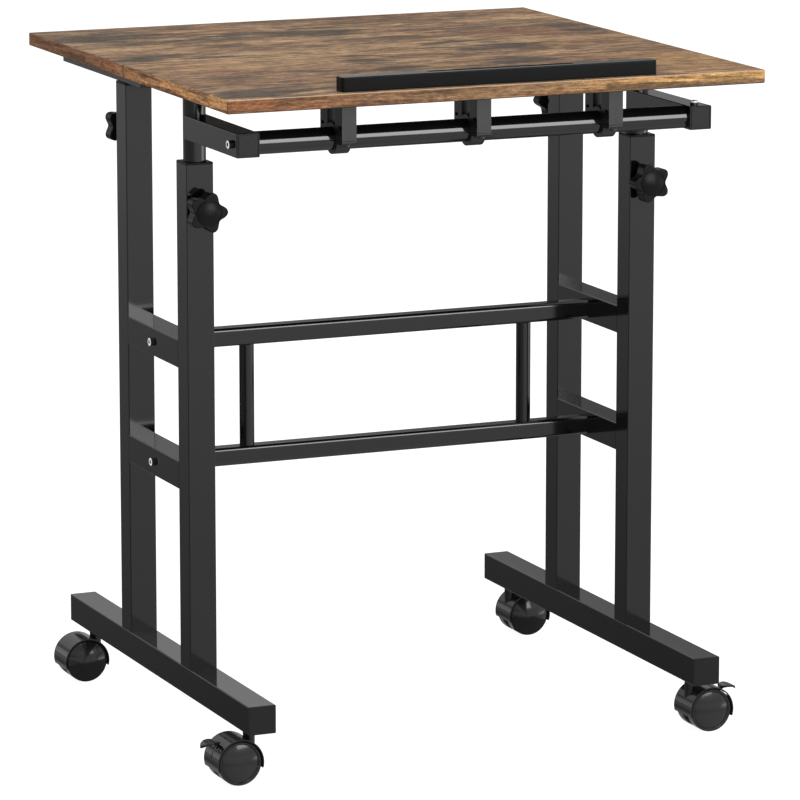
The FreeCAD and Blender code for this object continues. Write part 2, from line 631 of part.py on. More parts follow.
front_board = board(-BOARD_Y)
for x in CLIP_X:
    for end in ENDS.values():
        hole = at(screw_hole(BOARD_BITE + SCREW_ROOM), x, TILT_Y + end * CLIP_SCREW_Y, UNDERSIDE)
        front_board = front_board.cut(hole)
ledge_piece = at(ledge(), LEDGE_OFFSET, LEDGE_Y, TOP)
ledge_screws = []
for x in LEDGE_SCREW_X:
    recess = at(rod(SCREW_HEAD + 2 * SCREW_PLAY, LEDGE_RECESS), x, LEDGE_Y, UNDERSIDE)
    front_board = front_board.cut(recess).cut(at(screw_hole(BOARD_THICKNESS), x, LEDGE_Y, UNDERSIDE))
    ledge_piece = ledge_piece.cut(at(screw_hole(LEDGE_BITE + SCREW_ROOM), x, LEDGE_Y, TOP))
    length = BOARD_THICKNESS - LEDGE_RECESS + LEDGE_BITE
    ledge_screws.append(at(wood_screw(length), x, LEDGE_Y, UNDERSIDE + LEDGE_RECESS))
parts["front_board"] = front_board
parts["ledge"] = ledge_piece
parts["clip_upper_halves"] = Part.makeCompound([clip_upper(x) for x in CLIP_X])
parts["clip_lower_halves"] = Part.makeCompound([clip_lower(x) for x in CLIP_X])
clip_screws = [clip_screw(x, end) for x in CLIP_X for end in ENDS.values()]
parts["front_board_screws"] = Part.makeCompound(clip_screws + ledge_screws)


# Clamping knobs
def knob(side, end):
    """Five-lobed head on a stud; built pointing up, the stud below Z = 0."""
    points = []
    steps = 60
    for i in range(steps):
        angle = 2 * math.pi * i / steps
        radius = KNOB_RADIUS + KNOB_LOBE * math.cos(KNOB_LOBES * angle)
        points.append(FreeCAD.Vector(radius * math.cos(angle), radius * math.sin(angle), KNOB_STANDOFF))
    outline = Part.BSplineCurve()
    outline.interpolate(points, PeriodicFlag=True)
    star = Part.Face(Part.Wire(outline.toShape())).extrude(FreeCAD.Vector(0, 0, KNOB_THICKNESS))
    front = KNOB_STANDOFF + KNOB_THICKNESS
    rims = [e for e in star.Edges if e.BoundBox.ZLength < 0.01]
    star = star.makeFillet(KNOB_ROUNDING, rims)
    hub = KNOB_HUB / 2
    ball = (hub ** 2 + KNOB_DOME ** 2) / (2 * KNOB_DOME)
    dome = at(Part.makeSphere(ball), 0, 0, front + KNOB_DOME - ball)
    dome = dome.common(at(rod(2 * hub, KNOB_DOME + MERGE), 0, 0, front - MERGE))
    boss_start = NUT_FLANGE + KNOB_GAP
    boss = at(rod(KNOB_BOSS, KNOB_STANDOFF - boss_start + MERGE), 0, 0, boss_start)
    head = star.fuse([dome, boss]).removeSplitter()
    depth = KNOB_GROOVE + OVERSHOOT
    groove = rod(KNOB_HUB + 2 * KNOB_GROOVE, depth).cut(rod(KNOB_HUB, depth))
    head = head.cut(at(groove, 0, 0, front - KNOB_GROOVE))
    grip = KNOB_STANDOFF + 0.6 * KNOB_THICKNESS
    head = head.cut(rod(STUD_DIAMETER + 2 * SCREW_PLAY, grip))
    inner_gap = (POST_TUBE - INNER_POST_DIAMETER) / 2 - SLIDE_CLEARANCE
    stud = at(rod(STUD_DIAMETER, inner_gap + grip), 0, 0, -inner_gap)
    piece = Part.makeCompound([head, stud])
    piece.rotate(ORIGIN, Z_AXIS, 0 if side < 0 else 180)
    piece.rotate(ORIGIN, X_AXIS, 90 if end < 0 else -90)
    return at(piece, side * POST_X, end * (POST_Y + POST_TUBE / 2), knob_level(end))


for name, side in SIDES.items():
    for end_name, end in ENDS.items():
        parts["knob_" + end_name + "_" + name] = knob(side, end)


# Casters, each built about its own stem axis with the wheel trailing to +X
PIVOT_X = CASTER_TRAIL + PIVOT_REACH
PIVOT_Z = AXLE_Z + PIVOT_RISE
PEDAL_X = CASTER_TRAIL + HOOD_OUTER * 0.74
PEDAL_Z = AXLE_Z + HOOD_OUTER * 0.75


def hood_pocket(angle, width, length, depth):
    """Block that cuts the hood from outside: width along the axle, length around it."""
    block = at(Part.makeBox(depth + MERGE, width, length), HOOD_OUTER - depth, -width / 2, -length / 2)
    block.rotate(ORIGIN, Y_AXIS, -angle)
    return at(block, CASTER_TRAIL, 0, AXLE_Z)


def caster_hood(braked):
    width = CASTER_WIDTH
    band = at(along_y(rod(2 * HOOD_OUTER, width)), CASTER_TRAIL, -width / 2, AXLE_Z)
    neck_base = AXLE_Z + 0.4 * HOOD_OUTER
    neck_top = CASTER_HEIGHT - SLIDE_CLEARANCE
    neck = at(rod(NECK_DIAMETER, neck_top - neck_base), 0, 0, neck_base)
    hood = band.fuse(neck)
    room = (width - WEB_THICKNESS) / 2
    for start in (-width / 2 - OVERSHOOT, WEB_THICKNESS / 2):
        space = along_y(rod(2 * HOOD_INNER, room + OVERSHOOT))
        hood = hood.cut(at(space, CASTER_TRAIL, start, AXLE_Z))
    below = Part.makeBox(8 * HOOD_OUTER, 2 * width, 4 * HOOD_OUTER)
    below = at(below, -4 * HOOD_OUTER, -width, -4 * HOOD_OUTER - HOOD_DROP)
    below.rotate(ORIGIN, Y_AXIS, HOOD_TILT)
    hood = hood.cut(at(below, CASTER_TRAIL, 0, AXLE_Z))
    bore = rod(STEM_DIAMETER + 2 * RUNNING_FIT, CASTER_HEIGHT)
    hood = hood.cut(at(bore, 0, 0, AXLE_Z + STEM_SEAT))
    axle_hole = along_y(rod(AXLE_DIAMETER + 2 * RUNNING_FIT, width))
    hood = hood.cut(at(axle_hole, CASTER_TRAIL, -width / 2, AXLE_Z))
    if braked:
        gap = PEDAL_TAB + 2 * SLIDE_CLEARANCE
        room = PEDAL_PIVOT + PEDAL_ROOM
        hood = hood.cut(at(along_y(rod(2 * room, gap)), PIVOT_X, -gap / 2, PIVOT_Z))
        tab_way = at(Part.makeBox(HOOD_OUTER, gap, 2 * room), 0, -gap / 2, -room)
        tab_way.rotate(ORIGIN, Y_AXIS, -TAB_WAY_SLOPE)
        hood = hood.cut(at(tab_way, PIVOT_X, 0, PIVOT_Z))
        channel = hood_pocket(CHANNEL_ANGLE, width - 2 * CHANNEL_MARGIN, CHANNEL_WIDTH, CHANNEL_DEPTH)
        slit = hood_pocket(SLIT_ANGLE, SLIT_WIDTH, SLIT_LENGTH, SLIT_DEPTH)
        hood = hood.cut(channel).cut(slit)
        pin = along_y(rod(PEDAL_PIVOT + 2 * RUNNING_FIT, WEB_THICKNESS - 2 * PIN_WALL))
        hood = hood.cut(at(pin, PIVOT_X, PIN_WALL - WEB_THICKNESS / 2, PIVOT_Z))
    return hood


def pedal():
    """Leaf-shaped pedal with a tab and trunnion inside the hood."""
    tip = 0.55 * PEDAL_WIDTH
    half = PEDAL_WIDTH / 2
    leaf = Part.Wire([
        Part.Arc(
            FreeCAD.Vector(0, -0.55 * half, 0),
            FreeCAD.Vector(0.45 * PEDAL_LENGTH, -half, 0),
            FreeCAD.Vector(PEDAL_LENGTH, -0.25 * tip, 0),
        ).toShape(),
        Part.Arc(
            FreeCAD.Vector(PEDAL_LENGTH, -0.25 * tip, 0),
            FreeCAD.Vector(PEDAL_LENGTH + PEDAL_NOSE, 0, 0),
            FreeCAD.Vector(PEDAL_LENGTH, 0.25 * tip, 0),
        ).toShape(),
        Part.Arc(
            FreeCAD.Vector(PEDAL_LENGTH, 0.25 * tip, 0),
            FreeCAD.Vector(0.45 * PEDAL_LENGTH, half, 0),
            FreeCAD.Vector(0, 0.55 * half, 0),
        ).toShape(),
        Part.makeLine(FreeCAD.Vector(0, 0.55 * half, 0), FreeCAD.Vector(0, -0.55 * half, 0)),
    ])
    slope = math.radians(PEDAL_ROOT_SLOPE)
    arch_x = PEDAL_ARCH * math.sin(slope)
    arch_z = -PEDAL_ARCH * math.cos(slope)
    crest = PEDAL_ARCH + PEDAL_THICKNESS
    arch = along_y(rod(2 * crest, 2 * PEDAL_WIDTH).cut(rod(2 * PEDAL_ARCH, 2 * PEDAL_WIDTH)))
    arch = at(arch, arch_x, -PEDAL_WIDTH, arch_z)
    outline = at(Part.Face(leaf).extrude(FreeCAD.Vector(0, 0, 2 * PEDAL_ARCH)), 0, 0, arch_z)
    plate = outline.common(arch)
    rims = [
        e for e in plate.Edges
        if all(abs(math.hypot(p.x - arch_x, p.z - arch_z) - crest) < 0.01 for p in e.discretize(5))
    ]
    plate = at(plate.makeFillet(PEDAL_ROUNDING, rims), PEDAL_X, 0, PEDAL_Z)
    shank = Part.Wire(Part.makePolygon([
        FreeCAD.Vector(PIVOT_X + 0.7 * PEDAL_PIVOT, 0, PIVOT_Z - 0.3 * PEDAL_PIVOT),
        FreeCAD.Vector(PEDAL_X + PEDAL_SHANK, 0, PEDAL_Z),
        FreeCAD.Vector(PEDAL_X + PEDAL_SHANK, 0, PEDAL_Z + 0.9 * PEDAL_THICKNESS),
        FreeCAD.Vector(PEDAL_X + 0.2 * PEDAL_THICKNESS, 0, PEDAL_Z + 0.8 * PEDAL_THICKNESS),
        FreeCAD.Vector(PIVOT_X - 0.5 * PEDAL_PIVOT, 0, PIVOT_Z + 0.6 * PEDAL_PIVOT),
        FreeCAD.Vector(PIVOT_X + 0.7 * PEDAL_PIVOT, 0, PIVOT_Z - 0.3 * PEDAL_PIVOT),
    ]))
    tab = at(Part.Face(shank).extrude(FreeCAD.Vector(0, PEDAL_TAB, 0)), 0, -PEDAL_TAB / 2, 0)
    eye = at(along_y(rod(2 * PEDAL_PIVOT, PEDAL_TAB)), PIVOT_X, -PEDAL_TAB / 2, PIVOT_Z)
    reach = WEB_THICKNESS - 2 * (PIN_WALL + SLIDE_CLEARANCE)
    pin = at(along_y(rod(PEDAL_PIVOT, reach)), PIVOT_X, -reach / 2, PIVOT_Z)
    return plate.fuse([tab, eye, pin]).removeSplitter()


def straight_edges(points):
    corners = [FreeCAD.Vector(a, b, 0) for a, b in points]
    return [Part.makeLine(a, b) for a, b in zip(corners, corners[1:])]


def wheel(face, ringed):
    """Domed wheel on one side of the web; face is -1 in front and 1 behind."""
    inner = WEB_THICKNESS / 2 + WHEEL_GAP
    outer = CASTER_WIDTH / 2
    lip = outer - RIM_SETBACK
    top = lip + (RINGED_DOME_RISE if ringed else PLAIN_DOME_RISE)
    bore = AXLE_DIAMETER / 2 + RUNNING_FIT
    floor = outer - HUB_WALL + AXLE_PLAY
    points = [
        (bore, inner), (WHEEL_RADIUS - TREAD_BEVEL, inner), (WHEEL_RADIUS, inner + TREAD_BEVEL),
        (WHEEL_RADIUS, lip - SHOULDER_WIDTH), (WHEEL_RADIUS - SHOULDER_WIDTH, lip),
    ]
    if ringed:
        ring = WHEEL_RADIUS - SHOULDER_WIDTH - RING_WIDTH
        points = points + [(ring, lip), (ring - GROOVE_WIDTH, lip - GROOVE_DEPTH)]
    rim, foot_level = points[-1]
    rise = top - foot_level
    ball = (rim ** 2 + rise ** 2) / (2 * rise)
    shoulder = top - ball + math.sqrt(ball ** 2 - rim ** 2 / 4)
    crown = top - ball + math.sqrt(ball ** 2 - DOME_FLAT ** 2)
    dome = Part.Arc(
        FreeCAD.Vector(rim, foot_level, 0),
        FreeCAD.Vector(rim / 2, shoulder, 0),
        FreeCAD.Vector(DOME_FLAT, crown, 0),
    )
    back = [(DOME_FLAT, crown), (0, crown), (0, floor), (bore, floor), (bore, inner)]
    edges = straight_edges(points) + [dome.toShape()] + straight_edges(back)
    body = Part.Face(Part.Wire(edges)).revolve(ORIGIN, Y_AXIS, 360)
    if face < 0:
        body = body.mirror(ORIGIN, Y_AXIS)
    return at(body, CASTER_TRAIL, 0, AXLE_Z)


def axle():
    reach = CASTER_WIDTH - 2 * HUB_WALL
    return at(along_y(rod(AXLE_DIAMETER, reach)), CASTER_TRAIL, -reach / 2, AXLE_Z)


def caster_at(shape, side, end):
    return at(mirrored(shape, side), side * POST_X, end * CASTER_Y, 0)


for name, side in SIDES.items():
    for end_name, end in ENDS.items():
        label = "caster_" + end_name + "_" + name
        braked = end < 0
        parts[label + "_hood"] = caster_at(caster_hood(braked), side, end)
        parts[label + "_axle"] = caster_at(axle(), side, end)
        parts[label + "_wheel_a"] = caster_at(wheel(-1, braked), side, end)
        parts[label + "_wheel_b"] = caster_at(wheel(1, braked), side, end)
        if braked:
            parts["brake_pedal_" + name] = caster_at(pedal(), side, end)

os.makedirs("parts", exist_ok=True)
for node, shape in parts.items():
    shape.exportStep("parts/" + node + ".step")
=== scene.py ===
import json
import math
import bpy
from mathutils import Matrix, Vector


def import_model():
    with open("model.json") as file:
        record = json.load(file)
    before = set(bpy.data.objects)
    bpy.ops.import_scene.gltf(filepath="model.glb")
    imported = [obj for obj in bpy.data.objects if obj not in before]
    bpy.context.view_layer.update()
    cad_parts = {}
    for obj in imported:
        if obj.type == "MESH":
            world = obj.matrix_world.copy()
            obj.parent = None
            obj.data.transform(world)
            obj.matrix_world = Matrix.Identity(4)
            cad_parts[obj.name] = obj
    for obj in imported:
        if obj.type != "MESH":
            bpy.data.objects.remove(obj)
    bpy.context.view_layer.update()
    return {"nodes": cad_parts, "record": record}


# Rolling desk with a two-board top: finishes, light, floor and camera.
# Metres. X to the right, Y to the rear, Z up, floor at Z = 0.

# Camera, solved from the desk's own corners: angles in degrees, focal length in widths of the sensor
CAMERA_PLACE = (-2.0748, -4.8484, 1.3909)
CAMERA_YAW = 23.3264
CAMERA_PITCH = 11.2851
CAMERA_FOCAL = 6.1928
SENSOR_WIDTH = 36.0

# Floor, and cards of painted shade on it by the rear casters, seen only in gloss: middle and half size in
# X and Y
FLOOR_SIZE = 600.0
FLOOR_COLOUR = 0.30
FLOOR_GLOW = 0.92
SHADE_CARDS = {
    "floor_shade_card_left": ((-0.225, 0.170), (0.105, 0.065)),
    "floor_shade_card_right": ((0.255, 0.170), (0.075, 0.065)),
}
CARD_HEIGHT = 0.0005
SHADE_CARD_COLOUR = 0.12
SHEET_ROUGHNESS = 0.9

# Brightness of the studio by the elevation of the direction in degrees
FRONT_SKY = [
    (-90, 0.6), (-40, 0.75), (-20, 0.85), (-16, 0.62), (-13, 0.66), (-8, 1.0), (-4, 0.9), (-1.6, 1.0),
    (2, 1.0), (5, 0.8), (10, 0.9), (20, 1.2), (30, 0.9), (45, 0.6), (90, 0.8),
]
REAR_SKY = [
    (-90, 0.35), (-22, 0.45), (-19, 0.30), (-16.5, 0.07), (-16, 0.07), (-9.6, 0.238), (-8, 0.37),
    (-2.6, 0.33), (-1.6, 1.0), (2, 1.0), (3, 0.88), (7.5, 0.88), (9, 0.24), (11, 0.15), (12, 0.26),
    (13.5, 0.56), (15, 0.72), (90, 0.9),
]
LEFT_SKY = [
    (-90, 0.4), (-20, 0.5), (-14, 0.5), (-12.3, 0.19), (-8, 0.37), (-2.6, 0.40), (-1.6, 1.0), (2, 1.0),
    (3, 0.88), (7.5, 0.88), (9, 0.24), (11, 0.15), (12, 0.26), (13.5, 0.56), (15, 0.72), (90, 0.9),
]
STRIP_SKY = [
    (-90, 0.6), (-20, 0.7), (-13, 0.6), (-10.5, 1.1), (-9, 2.5), (-7.5, 4.0), (-6, 4.0), (-4, 1.0),
    (90, 0.9),
]
# The brightest level, which the ramps hold as 1
SKY_STRENGTH = 4.0
# Level direction that the bright front half is centred on, in degrees from -Y to +X,
# and the cosines from it over which the dark rear half changes into the front half
SKY_AIM = 45.0
SKY_TURN = (-0.17, 0.90)
# X of the direction over which the rear half darkens towards the right, and its factors there
SKY_FALL = (0.35, 0.45, 1.0, 0.45)
# A lighter part at the front left and an upright strip light on the right: brightness, and the edges
# by X and by Y of the level direction
SKY_PARTS = [
    (LEFT_SKY, (-0.45, -0.62), (-0.38, -0.58)),
    (STRIP_SKY, (0.76, 0.86), (-0.10, -0.22)),
]

# Softboxes: place, aim, width, height, power
SOFTBOXES = {
    "softbox_top": ((-0.4, -0.6, 3.2), (0.0, 0.0, 0.5), 2.6, 2.6, 20.0),
    "softbox_front": ((0.493, -1.539, 1.04), (-0.127, -0.209, 1.04), 0.92, 0.86, 16.8),
}

# Parts of a face's normal along an axis: above FACE it points that way, with none above ROUND it belongs
# to a rounded rim, and above LEAN a rim leans that way
FACE = 0.7
ROUND = 0.92
LEAN = 0.35

# Wood: colours in linear light
PALE = (0.420, 0.270, 0.145, 1.0)
TAN = (0.315, 0.197, 0.108, 1.0)
BROWN = (0.185, 0.112, 0.066, 1.0)
UMBER = (0.130, 0.078, 0.047, 1.0)
RUST = (0.190, 0.086, 0.048, 1.0)
HONEY = (0.400, 0.232, 0.100, 1.0)
SLATE = (0.064, 0.051, 0.039, 1.0)
EDGE_MAROON = (0.183, 0.075, 0.032, 1.0)
EDGE_UMBER = (0.170, 0.095, 0.046, 1.0)
EDGE_HONEY = (0.387, 0.214, 0.076, 1.0)
EDGE_TAN = (0.441, 0.215, 0.080, 1.0)
EDGE_RUST = (0.225, 0.096, 0.041, 1.0)
EDGE_BROWN = (0.165, 0.074, 0.033, 1.0)
EDGE_DARK = (0.072, 0.036, 0.018, 1.0)
EDGE_LAYER = (0.090, 0.052, 0.028, 1.0)
# Painted highlight laid on the rounded rim above the front edge
PAINTED_HIGHLIGHT = (0.460, 0.330, 0.220, 1.0)
# Painted shade laid on the boards' undersides and on their rims at the corners, below and along the seam
PAINTED_SHADE = (0.020, 0.014, 0.010, 1.0)

# Wood: how the grain sways, and how far to each side
SWAY_SCALE = (7.0, 18.0, 18.0)
SWAY = 0.008
# Noises that sway and noises that run straight: scale and offset along, across and through the grain,
# detail, roughness
SWAYING_NOISES = {
    "broad": ((4.5, 22.0, 70.0), (0.0, 0.0, 0.0), 4.0, 0.60),
    "streak": ((20.0, 90.0, 210.0), (0.4, 0.9, 0.0), 5.0, 0.65),
    "blotch": ((9.0, 34.0, 90.0), (1.7, 2.9, 0.4), 6.0, 0.68),
    "hue": ((3.0, 11.0, 30.0), (3.1, 0.7, 0.0), 3.0, 0.55),
    "gilt": ((24.0, 70.0, 200.0), (2.3, 0.1, 0.0), 4.0, 0.60),
    "crack": ((16.0, 75.0, 220.0), (5.1, 0.4, 0.0), 4.0, 0.60),
    "lines": ((35.0, 0.0, 480.0), (0.0, 0.0, 0.6), 4.0, 0.65),
}
STRAIGHT_NOISES = {
    "fibre": ((30.0, 420.0, 420.0), (0.0, 0.0, 0.0), 4.0, 0.70),
    "pore": ((110.0, 210.0, 300.0), (0.3, 0.0, 0.0), 4.0, 0.70),
    "fleck": ((85.0, 110.0, 230.0), (0.7, 0.2, 0.0), 4.0, 0.70),
    "dashes": ((120.0, 0.0, 500.0), (0.9, 0.0, 0.2), 4.0, 0.75),
}

# Top: shares of the two noises in its tone, and colours by tone
BROAD_SHARE = 0.55
STREAK_SHARE = 0.45
TOP_STOPS = [(0.40, UMBER), (0.47, BROWN), (0.55, TAN), (0.63, PALE)]
# Streaks, laid on in turn: noise, values where they begin and are full, strength, colour
TOP_STREAKS = [
    ("hue", (0.48, 0.66), 0.42, RUST),
    ("gilt", (0.55, 0.63), 0.65, HONEY),
    ("crack", (0.59, 0.65), 0.60, SLATE),
]
# Fields of the top: middle and half size in X and Y, for the tinted ones also strength and colour
DARK_FIELDS = [
    ((-0.235, 0.225), (0.075, 0.060)),
    ((-0.085, 0.170), (0.150, 0.028)),
    ((0.215, 0.252), (0.030, 0.015)),
    ((0.272, 0.100), (0.025, 0.050)),
    ((0.095, 0.008), (0.060, 0.045)),
    ((-0.230, -0.130), (0.032, 0.020)),
    ((-0.050, -0.080), (0.030, 0.020)),
    ((-0.035, -0.148), (0.045, 0.018)),
    ((0.100, -0.125), (0.050, 0.025)),
    ((-0.250, -0.262), (0.050, 0.035)),
    ((-0.230, 0.035), (0.070, 0.025)),
]
LIGHT_FIELDS = [
    ((-0.190, -0.055), (0.110, 0.055)),
    ((-0.065, 0.105), (0.045, 0.030)),
]
TINTED_FIELDS = [
    ((0.210, 0.092), (0.075, 0.040), 0.6, RUST),
    ((0.260, -0.210), (0.060, 0.090), 0.5, HONEY),
]
# Distances from a field's middle, in half sizes, over which it fades
FIELD_FADE = (1.5, 0.5)
# What the light and dark fields add to the tone and to the stains, and the stains' values and strengths
LIGHT_TO_TONE = 0.06
DARK_TO_STAIN = 0.15
LIGHT_TO_STAIN = -0.12
STAIN = (0.55, 0.67, 0.0, 0.85)

# Edges: half a side of the top, and colours along the front edge and along the side edges
HALF_SIDE = 0.3
FRONT_STOPS = [(0.05, EDGE_MAROON), (0.35, EDGE_UMBER), (0.55, EDGE_UMBER), (0.85, EDGE_HONEY)]
SIDE_STOPS = [(0.0, EDGE_TAN), (0.30, EDGE_TAN), (0.55, EDGE_RUST), (0.85, EDGE_BROWN)]
EDGE_STREAKS = [
    ("blotch", (0.50, 0.64), 0.80, EDGE_DARK),
    ("streak", (0.54, 0.66), 0.60, EDGE_DARK),
]
# Height that the streaks add to make levels ragged, the level below which brown streaks lie, their values
# and strengths, and the level and the X of the dark layer at the right
RAGGED = 0.012
LOW_LEVEL = (0.718, 0.714)
LOW_STREAKS = (0.38, 0.52, 0.0, 0.8)
LAYER_LEVEL = (0.7195, 0.7165)
LAYER_SPAN = (0.10, 0.18, 0.0, 0.85)
# Rims: half width of the strip along the seam, Y of the strip along the front, and strengths of painted
# highlight and shade
SEAM_STRIP = 0.02
FRONT_STRIP = -0.2
RIM_HIGHLIGHT_STRENGTH = 0.7
RIM_SHADE_STRENGTH = 0.75

# Fine light and shade everywhere, on the top and on the edges: values of a noise, and factors at them
WOOD_SHADES = {
    "fibre": (0.3, 0.72, 0.75, 1.2),
    "pore": (0.55, 0.70, 1.06, 0.50),
    "streak": (0.35, 0.65, 0.82, 1.12),
}
TOP_SHADES = {"fleck": (0.35, 0.65, 1.26, 0.70)}
EDGE_SHADES = {"lines": (0.35, 0.65, 0.60, 1.38), "dashes": (0.38, 0.62, 0.62, 1.40)}
WOOD_GLOSS = 0.15
WOOD_ROUGHNESS = (0.68, 0.52)
WOOD_RELIEF = (0.3, 0.0002)

# Values of a noise between which roughness varies, detail of a fine grain, and depth of its relief
NOISE_SPAN = (0.3, 0.7)
GRAIN_DETAIL = 2.0
RELIEF_DEPTH = 0.0001
# Paint and plastic: two tints, scale of the grain, scale and detail of the haze, relief
POWDER_COAT = (((0.0015, 0.0015, 0.0016), (0.0035, 0.0035, 0.0037)), 900.0, (9.0, 3.0), 0.008)
BLACK_PLASTIC = (((0.005, 0.0058, 0.0052), (0.008, 0.0088, 0.0082)), 2600.0, (14.0, 3.0), 0.08)
CASTER_PLASTIC = (((0.009, 0.009, 0.009), (0.013, 0.013, 0.013)), 1800.0, (40.0, 4.0), 0.02)
# Their finishes: what they are made of, gloss, range of roughness, factor on the tints
COATINGS = {
    "black_powder_coat": (POWDER_COAT, 0.61, (0.09, 0.12), 1.0),
    "black_plastic": (BLACK_PLASTIC, 0.45, (0.30, 0.40), 1.0),
    "black_plastic_dull": (BLACK_PLASTIC, 0.12, (0.30, 0.40), 0.5),
    "black_plastic_bright": (BLACK_PLASTIC, 0.40, (0.30, 0.40), 1.0),
    "black_plastic_satin": (BLACK_PLASTIC, 0.22, (0.30, 0.40), 1.0),
    "black_plastic_smooth": (BLACK_PLASTIC, 0.07, (0.10, 0.16), 0.75),
    "caster_plastic": (CASTER_PLASTIC, 0.38, (0.12, 0.18), 1.0),
}

# Steel: scale and relief of the turning marks, tints, ranges of roughness, and how metallic it is
TURNED_SCALE = (1500.0, 1500.0, 3000.0)
TURNED_RELIEF = 0.05
BRIGHT_TINTS = ((0.80, 0.80, 0.80, 1.0), (0.95, 0.95, 0.94, 1.0))
BLACK_TINTS = ((0.006, 0.006, 0.006, 1.0), (0.012, 0.012, 0.012, 1.0))
ZINC_TINTS = ((0.86, 0.86, 0.86, 1.0), (0.96, 0.96, 0.95, 1.0))
# Painted shade in the sockets and a painted dark reflection on the screws' sides
BOLT_SHADE = (0.012, 0.012, 0.012, 1.0)
STEEL_ROUGHNESS = (0.28, 0.40)
BOLT_ROUGHNESS = (0.30, 0.42)
BRIGHT_METAL = 0.75
BOLT_METAL = 0.2
# Socket screws: axes along X by Y and Z, the upright one by X and Y, the radii over which the painted
# shade in a socket ends, the height that the upright one is above, and the height above which it shows
# zinc instead of painted shade
BOLT_AXES = [(0.0, 0.293), (0.0, 0.423), (-0.226, 0.6645)]
SCREW_AXIS = (0.255, -0.226)
SOCKET_SHADE_RADII = (0.0019, 0.0023)
SCREW_ABOVE = 0.6
SCREW_CROWN = 0.679

# Pieces with another finish than their slot's
SPECIAL = {
    "ledge": "black_plastic_smooth",
    "post_collars": "black_plastic_dull",
    "knob_front_left": "black_plastic_dull",
    "knob_front_right": "black_plastic_dull",
    "knob_rear_left": "black_plastic_dull",
    "knob_rear_right": "black_plastic_dull",
    "foot_end_caps": "black_plastic_satin",
    "front_arm_caps": "black_plastic_satin",
    "clip_upper_halves": "black_plastic_bright",
    "clip_lower_halves": "black_plastic_bright",
    "crossbar_bolts": "bolt_steel",
    "tilt_tube_bolts": "bolt_steel",
}

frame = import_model()
nodes = frame["nodes"]
slot_of = {part["node"]: part["material_slot"] for part in frame["record"]["subparts"]}


class Graph:
    """A node tree and short calls for the nodes it is made of."""

    def __init__(self, tree):
        self.tree = tree
        self.coordinates = self.node("ShaderNodeTexCoord")

    def node(self, kind, **settings):
        made = self.tree.nodes.new(kind)
        for key, value in settings.items():
            setattr(made, key, value)
        return made

    def feed(self, socket, value):
        """Link an output to a socket, or set the socket to a plain value."""
        if isinstance(value, bpy.types.NodeSocket):
            self.tree.links.new(value, socket)
        else:
            socket.default_value = value

    def math(self, operation, a, b=0.0):
        made = self.node("ShaderNodeMath", operation=operation)
        self.feed(made.inputs[0], a)
        self.feed(made.inputs[1], b)
        return made.outputs[0]

    def fold(self, operation, values):
        """One operation over a list of values."""
        result = values[0]
        for value in values[1:]:
            result = self.math(operation, result, value)
        return result

    def times(self, a, b):
        return self.math("MULTIPLY", a, b)

    def total(self, *pairs):
        """Sum of values, each with its share."""
        return self.fold("ADD", [self.times(value, share) for value, share in pairs])

    def split(self, vector):
        made = self.node("ShaderNodeSeparateXYZ")
        self.feed(made.inputs[0], vector)
        return made.outputs

    def join(self, x, y, z):
        made = self.node("ShaderNodeCombineXYZ")
        for socket, value in zip(made.inputs, (x, y, z)):
            self.feed(socket, value)
        return made.outputs[0]

    def length(self, vector):
        made = self.node("ShaderNodeVectorMath", operation="LENGTH")
        self.feed(made.inputs[0], vector)
        return made.outputs["Value"]

    def radius(self, pair, axis):
        """Distance of two coordinates from an axis given by the same two."""
        offsets = [self.math("SUBTRACT", part, middle) for part, middle in zip(pair, axis)]
        return self.length(self.join(*offsets, 0.0))

    def stretch(self, vector, scale, move=(0.0, 0.0, 0.0)):
        made = self.node("ShaderNodeMapping")
        self.feed(made.inputs["Vector"], vector)
        made.inputs["Scale"].default_value = scale
        made.inputs["Location"].default_value = move
        return made.outputs[0]

    def noise(self, vector, scale=1.0, detail=3.0, roughness=0.55):
        made = self.node("ShaderNodeTexNoise")
        self.feed(made.inputs["Vector"], vector)
        self.feed(made.inputs["Scale"], scale)
        self.feed(made.inputs["Detail"], detail)
        self.feed(made.inputs["Roughness"], roughness)
        return made.outputs["Fac"]

    def streaks(self, vector, scale, move, detail, roughness):
        """Noise drawn out differently along each axis."""
        return self.noise(self.stretch(vector, scale, move), detail=detail, roughness=roughness)

    def remap(self, value, low, high, new_low=0.0, new_high=1.0, smooth=False):
        made = self.node("ShaderNodeMapRange", interpolation_type="SMOOTHSTEP" if smooth else "LINEAR")
        self.feed(made.inputs["Value"], value)
        self.feed(made.inputs["From Min"], low)
        self.feed(made.inputs["From Max"], high)
        self.feed(made.inputs["To Min"], new_low)
        self.feed(made.inputs["To Max"], new_high)
        return made.outputs["Result"]

    def ease(self, value, *span):
        """Remap with soft ends."""
        return self.remap(value, *span, smooth=True)

    def between(self, factor, a, b):
        """A value that goes from a to b as the factor goes from 0 to 1."""
        return self.remap(factor, 0.0, 1.0, a, b)

    def mix(self, factor, a, b, blend="MIX"):
        made = self.node("ShaderNodeMix", data_type="RGBA", blend_type=blend)
        self.feed(made.inputs[0], factor)
        self.feed(made.inputs[6], a)
        self.feed(made.inputs[7], b)
        return made.outputs[2]

    def darken(self, colour, factor):
        return self.mix(1.0, colour, self.join(factor, factor, factor), "MULTIPLY")

    def mix_vector(self, factor, a, b):
        made = self.node("ShaderNodeMix", data_type="VECTOR")
        self.feed(made.inputs[0], factor)
        self.feed(made.inputs[4], a)
        self.feed(made.inputs[5], b)
        return made.outputs[1]

    def ramp(self, value, stops):
        made = self.node("ShaderNodeValToRGB")
        self.feed(made.inputs[0], value)
        elements = made.color_ramp.elements
        while len(elements) < len(stops):
            elements.new(0.5)
        for element, (position, colour) in zip(elements, stops):
            element.position = position
            element.color = colour
        return made.outputs[0]


